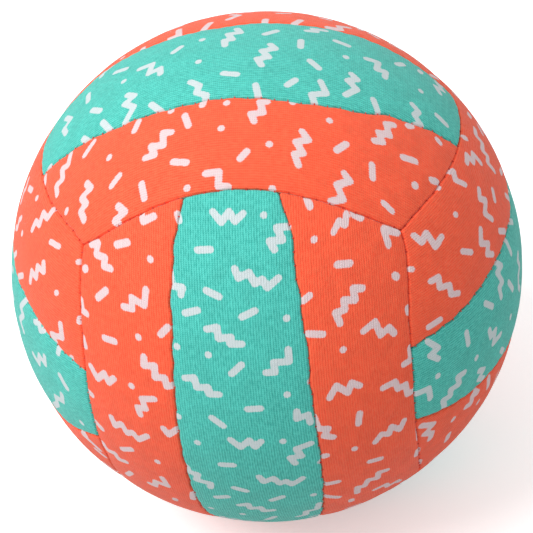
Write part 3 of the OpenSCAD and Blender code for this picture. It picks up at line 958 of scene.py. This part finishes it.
def make_bladder(material):
    """The rubber bladder, with the faint ridge of its mould, and its hole for the valve."""
    inner_r = BLADDER_R - BLADDER_T
    far = math.pi - POLE_GAP
    outside = arc_points(BLADDER_R, math.asin(BLADDER_HOLE_R / BLADDER_R), far, BLADDER_POINTS, RIDGE)
    inside = arc_points(inner_r, math.asin(BLADDER_HOLE_R / inner_r), far, BLADDER_POINTS)
    mesh = make_mesh("bladder", *revolved(outside + inside[::-1], BLADDER_SEGMENTS))
    add_piece("bladder_skin", mesh, [material], "bladder")


def make_patch(material):
    """The round of cloth behind the cover, with a softened rim."""
    inner_r = PATCH_OUTER_R - PATCH_T
    middle_r = PATCH_OUTER_R - PATCH_T / 2
    rim = PATCH_RIM / PATCH_OUTER_R
    start, end = math.asin(VALVE_HOLE_R / PATCH_OUTER_R), math.asin(PATCH_R / PATCH_OUTER_R)
    profile = arc_points(PATCH_OUTER_R, start + rim, end - rim, PATCH_POINTS)
    profile += arc_points(middle_r, end, end, 1)
    profile += arc_points(inner_r, start + rim, end - rim, PATCH_POINTS)[::-1]
    profile += arc_points(middle_r, start, start, 1)
    mesh = make_mesh("valve_patch", *revolved(profile, PATCH_SEGMENTS))
    piece = add_piece("valve_patch_cloth", mesh, [material], "valve_patch")


class Nodes:
    """Builds the nodes of one new material, or of the world."""

    def __init__(self, name, world=False):
        self.owner = bpy.data.worlds.new(name) if world else bpy.data.materials.new(name)
        self.owner.use_nodes = True
        self.tree = self.owner.node_tree
        self.shader = self.tree.nodes["Background" if world else "Principled BSDF"]

    def add(self, kind, settings=None, **inputs):
        """A node with settings, and inputs by name (spaces written as _) that are values or sockets."""
        node = self.tree.nodes.new(kind)
        for key, value in (settings or {}).items():
            setattr(node, key, value)
        for key, value in inputs.items():
            self.put(node.inputs[int(key[1:]) if key[1:].isdigit() else key.replace("_", " ")], value)
        return node

    def put(self, socket, value):
        if isinstance(value, bpy.types.NodeSocket):
            self.tree.links.new(value, socket)
        else:
            socket.default_value = value

    def math(self, operation, one, two=0.0, three=0.0):
        return self.add("ShaderNodeMath", {"operation": operation}, i0=one, i1=two, i2=three).outputs[0]

    def ramp(self, value, low, high, to_low=0.0, to_high=1.0):
        """A smooth change of a value from one range to another."""
        settings = {"interpolation_type": "SMOOTHSTEP"}
        node = self.add("ShaderNodeMapRange", settings, Value=value, From_Min=low, From_Max=high)
        node.inputs["To Min"].default_value = to_low
        node.inputs["To Max"].default_value = to_high
        return node.outputs["Result"]

    def scaled(self, value, factor, plus):
        """A value times a factor, plus another value."""
        return self.math("MULTIPLY_ADD", value, factor, plus)

    def object_place(self):
        return self.add("ShaderNodeTexCoord").outputs["Object"]

    def split(self, vector):
        return self.add("ShaderNodeSeparateXYZ", Vector=vector).outputs

    def joined(self, x, y, z):
        return self.add("ShaderNodeCombineXYZ", X=x, Y=y, Z=z).outputs[0]

    def noise(self, place, scale, detail, rough=0.5):
        node = self.add("ShaderNodeTexNoise", Vector=place, Scale=scale, Detail=detail, Roughness=rough)
        return node.outputs[0]

    def mix(self, share, one, two, blend="MIX"):
        """Mixes two colours."""
        node = self.tree.nodes.new("ShaderNodeMix")
        node.data_type = "RGBA"
        node.blend_type = blend
        sockets = [socket for socket in node.inputs if socket.enabled]
        for socket, value in zip(sockets, (share, one, two)):
            self.put(socket, value)
        return next(socket for socket in node.outputs if socket.enabled)

    def attribute(self, name, output):
        return self.add("ShaderNodeAttribute", {"attribute_name": name}).outputs[output]

    def bump(self, height, distance):
        """A bump whose height of 1 stands for a distance in millimetres."""
        node = self.add("ShaderNodeBump", Height=height, Distance=distance * MM, Strength=1.0)
        return node.outputs["Normal"]

    def finish(self, colour, roughness, normal, sheen=0.0, specular=0.5):
        self.put(self.shader.inputs["Base Color"], colour)
        self.put(self.shader.inputs["Roughness"], roughness)
        if normal is not None:
            self.put(self.shader.inputs["Normal"], normal)
        self.shader.inputs["Sheen Weight"].default_value = sheen
        self.shader.inputs["Specular IOR Level"].default_value = specular
        return self.owner

    def background_ray(self):
        """1 for the camera's rays, reflections and glass, which show the background, or else 0."""
        path = self.add("ShaderNodeLightPath").outputs
        shown = self.math("MAXIMUM", path["Is Camera Ray"], path["Is Glossy Ray"])
        return self.math("MAXIMUM", shown, path["Is Transmission Ray"])


def srgb(red, green, blue):
    """A colour as a screen shows it, from 0 to 255, as the shaders take it."""
    shares = [value / 255 for value in (red, green, blue)]
    return tuple(c / 12.92 if c <= 0.04045 else ((c + 0.055) / 1.055) ** 2.4 for c in shares) + (1.0,)


ORANGE = srgb(255, 107, 70)
# Painted shade for the orange knit's grooves
ORANGE_GROOVE_SHADE = srgb(252, 82, 50)
TEAL = srgb(92, 212, 198)
# Painted shade for the teal knit's grooves
TEAL_GROOVE_SHADE = srgb(48, 168, 156)
INK_ON_ORANGE = srgb(227, 208, 211)
INK_ON_TEAL = srgb(209, 219, 221)
THREAD_RED = srgb(222, 58, 40)
# The thread's darker fibres: their own uneven tone, and partly painted shade where the bump sinks
THREAD_TONE_AND_SHADE = srgb(178, 36, 26)
FOAM = srgb(226, 220, 206)
# Painted shade for the foam's pits
FOAM_PIT_SHADE = srgb(196, 188, 170)
RUBBER = srgb(38, 39, 42)
RUBBER_DUST = srgb(66, 66, 70)
COTTON = srgb(220, 218, 210)
# Painted shade for the dips of the cotton's weave
COTTON_DIP_SHADE = srgb(178, 174, 162)

# The knit, in millimetres: its ribs, its loops, and what raises the cloth
WALE = 1.0
WALE_WOBBLE = 0.5
LOOP = 0.8
LOOP_SLANT = 1.1
RIB_HEIGHT = 0.7
LOOP_HEIGHT = 0.25
GRAIN_HEIGHT = 1.5
GRAIN_SQUEEZE = 0.42
FUZZ_HEIGHT = 0.5
# Heights of the knit's grooves and crests, for its roughness and for the shade painted into its grooves
GROOVE = 0.75
CREST = 2.0
# The print's edge, ragged by the fuzz and the ribs
INK_EDGE = 0.22
INK_FUZZ = 0.9
INK_ON_RIBS = -0.18
WEAVE_PITCH = 0.9


def cover_material(name, colour, groove_shade, ink_colour):
    """Knit cloth with ribs along the strip, and the print on it, with shade painted into the knit's grooves.
    """
    b = Nodes(name)
    place = b.attribute("strip_place", "Vector")
    across, along, _ = b.split(place)
    slow = b.math("SUBTRACT", b.noise(place, scale=0.35, detail=2.0), 0.5)
    wobble = b.scaled(slow, WALE_WOBBLE, b.math("DIVIDE", across, WALE))
    in_wale = b.math("ABSOLUTE", b.math("SUBTRACT", b.math("FRACT", wobble), 0.5))
    rib = b.math("COSINE", b.math("MULTIPLY", in_wale, math.pi))
    loops = b.math("ADD", b.math("DIVIDE", along, LOOP), b.math("MULTIPLY", in_wale, LOOP_SLANT))
    loop = b.math("SINE", b.math("MULTIPLY", loops, 2 * math.pi))
    fuzz = b.noise(place, scale=3.2, detail=4.0, rough=0.6)
    squeezed = b.joined(across, b.math("MULTIPLY", along, GRAIN_SQUEEZE), 0.0)
    grain = b.noise(squeezed, scale=1.15, detail=2.0)
    height = b.scaled(loop, LOOP_HEIGHT, b.math("MULTIPLY", rib, RIB_HEIGHT))
    height = b.scaled(grain, GRAIN_HEIGHT, height)
    height = b.scaled(fuzz, FUZZ_HEIGHT, height)
    # Painted shade: the cloth darkens from its own colour on the crests to its groove shade in the grooves
    shade = b.ramp(height, GROOVE, CREST)
    mottle = b.ramp(b.noise(place, scale=0.12, detail=4.0, rough=0.65), 0.3, 0.7, to_low=0.93, to_high=1.04)
    cloth = b.mix(1.0, b.mix(shade, groove_shade, colour), b.joined(mottle, mottle, mottle), "MULTIPLY")
    ragged = b.scaled(b.math("SUBTRACT", fuzz, 0.5), INK_FUZZ, b.attribute("print_gap", "Fac"))
    ragged = b.scaled(b.math("SUBTRACT", rib, 0.6), INK_ON_RIBS, ragged)
    printed = b.ramp(ragged, INK_EDGE, -INK_EDGE)
    # In the grooves the ink lets a little of the cloth through, and with it the cloth's painted groove shade
    ink = b.mix(b.scaled(shade, 0.12, 0.88), groove_shade, ink_colour)
    # The ribs' crests are rubbed smoother than the grooves, and the ink is smoother than both
    rough = b.scaled(printed, -0.1, b.ramp(height, GROOVE, CREST, to_low=0.8, to_high=0.66))
    return b.finish(b.mix(printed, cloth, ink), rough, b.bump(height, 0.14), sheen=0.12, specular=0.25)


def foam_material():
    """The pale foam behind the knit, with shade painted into its pits."""
    b = Nodes("foam_backing")
    place = b.object_place()
    cells = b.add("ShaderNodeTexVoronoi", {"feature": "F1"}, Vector=place, Scale=1600.0).outputs["Distance"]
    # Painted shade: the foam darkens into the pits of its cells
    tint = b.mix(b.ramp(cells, 0.1, 0.7), FOAM_PIT_SHADE, FOAM)
    return b.finish(tint, b.ramp(cells, 0.1, 0.7, to_low=0.95, to_high=0.82), b.bump(cells, 0.1))


def thread_material():
    """Waxed polyester thread, its fibres uneven in tone, with shade painted where their bump sinks."""
    b = Nodes("seam_thread")
    fibres = b.noise(b.object_place(), scale=5200.0, detail=3.0)
    # The darker fibres lie where the bump sinks: their own uneven tone, and partly painted shade
    tint = b.mix(b.ramp(fibres, 0.35, 0.65), THREAD_TONE_AND_SHADE, THREAD_RED)
    return b.finish(tint, b.ramp(fibres, 0.35, 0.65, to_low=0.66, to_high=0.48), b.bump(fibres, 0.04))


def rubber_material(name, smooth_roughness):
    """Dusty black rubber."""
    b = Nodes(name)
    place = b.object_place()
    grain = b.noise(place, scale=2400.0, detail=4.0)
    dust = b.ramp(b.noise(place, scale=90.0, detail=4.0, rough=0.6), 0.45, 0.75)
    rough = b.scaled(dust, 0.25, smooth_roughness)
    return b.finish(b.mix(dust, RUBBER, RUBBER_DUST), rough, b.bump(grain, 0.05))


def patch_material():
    """A plain woven cotton, with shade painted into the dips of its weave."""
    b = Nodes("patch_weave")
    x, _, z = b.split(b.object_place())
    waves = [b.math("SINE", b.math("MULTIPLY", part, 2 * math.pi / (WEAVE_PITCH * MM))) for part in (x, z)]
    weave = b.math("MULTIPLY", *waves)
    # Painted shade: the cotton darkens into the dips of its weave
    tint = b.mix(b.ramp(weave, -1.0, 1.0), COTTON_DIP_SHADE, COTTON)
    rough = b.ramp(weave, -1.0, 1.0, to_low=0.92, to_high=0.78)
    return b.finish(tint, rough, b.bump(weave, 0.12), sheen=0.1)


def make_cover():
    """The eighteen panels."""
    foam = foam_material()
    orange = cover_material("orange_knit", ORANGE, ORANGE_GROOVE_SHADE, INK_ON_ORANGE)
    teal = cover_material("teal_knit", TEAL, TEAL_GROOVE_SHADE, INK_ON_TEAL)
    for face in FACES:
        for strip in (-1, 0, 1):
            make_panel(face, strip, [orange if strip else teal, foam])


def make_thread():
    """The rows of stitches, at the ends of each face's strips and between its strips."""
    thread = thread_material()
    for face in FACES:
        for number, side in enumerate((-1, 1)):
            end_name = face.name + "_to_" + face.ends[number] + "_stitches"
            make_stitches(end_name, face, end_edge(side), thread)
            row_name = strip_name(face, side) + "_strip_stitches"
            make_stitches(row_name, face, strip_edge(face, side, True), thread)


def dress_valve():
    """The valve keeps its solids, in a skin of rubber."""
    rubber = rubber_material("valve_rubber_skin", 0.45)
    for name in ("valve_body", "valve_plug"):
        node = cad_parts[name]
        node.data.materials.clear()
        node.data.materials.append(rubber)


def make_camera():
    """The camera of the photograph, fitted to the seams."""
    data = bpy.data.cameras.new("camera")
    data.lens = CAMERA_LENS
    data.sensor_width = SENSOR_WIDTH
    matrix = np.eye(4)
    matrix[:3, :3] = np.stack([unit(np.array(axis)) for axis in CAMERA_AXES], -1)
    matrix[:3, 3] = CAMERA_PLACE
    camera = add_object("camera", data)
    camera.matrix_world = Matrix(matrix.tolist())
    bpy.context.scene.camera = camera


FLOOR_SIZE = 6.0
FLOOR_WHITE = srgb(255, 255, 255)
FLOOR_BOUNCE = srgb(190, 190, 190)
FLOOR_LIFT = 0.38


def make_floor():
    """A pale floor that is white where nothing shades it, and can't be seen from below."""
    half = FLOOR_SIZE / 2
    low = min(cad_box[0].z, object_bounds()[0].z)
    mesh = bpy.data.meshes.new("floor")
    corners = [(-half, -half, low), (half, -half, low), (half, half, low), (-half, half, low)]
    mesh.from_pydata(corners, [], [[0, 1, 2, 3]])
    floor = add_object("floor", mesh)
    b = Nodes("floor_white")
    seen = b.background_ray()
    b.finish(b.mix(seen, FLOOR_BOUNCE, FLOOR_WHITE), 1.0, None, specular=0.0)
    b.put(b.shader.inputs["Emission Color"], FLOOR_WHITE)
    b.put(b.shader.inputs["Emission Strength"], b.math("MULTIPLY", seen, FLOOR_LIFT))
    below = b.add("ShaderNodeNewGeometry").outputs["Backfacing"]
    clear = b.add("ShaderNodeBsdfTransparent").outputs[0]
    surface = b.add("ShaderNodeMixShader", i0=below, i1=b.shader.outputs[0], i2=clear).outputs[0]
    b.put(b.tree.nodes["Material Output"].inputs["Surface"], surface)
    mesh.materials.append(b.owner)


WORLD_LEVEL = 0.66
KEY_POWER = 27.0
KEY_SIZE = 1.3
KEY_PLACE = (-0.95, -0.6, 1.5)


def make_light():
    """Even light from all round, and one large soft light from the upper left."""
    b = Nodes("world", world=True)
    level = b.math("MULTIPLY_ADD", b.background_ray(), 1.0 - WORLD_LEVEL, WORLD_LEVEL)
    b.put(b.shader.inputs["Strength"], level)
    b.put(b.shader.inputs["Color"], (1, 1, 1, 1))
    bpy.context.scene.world = b.owner
    light = bpy.data.lights.new("key", "AREA")
    light.energy = KEY_POWER
    light.shape = "DISK"
    light.size = KEY_SIZE
    key = add_object("key", light)
    key.location = KEY_PLACE
    key.rotation_euler = (-Vector(KEY_PLACE)).to_track_quat("-Z", "Y").to_euler()


make_camera()
make_cover()
make_thread()
make_bladder(rubber_material("bladder_rubber_skin", 0.5))
make_patch(patch_material())
dress_valve()
make_floor()
make_light()
bpy.context.scene.view_settings.view_transform = "Standard"
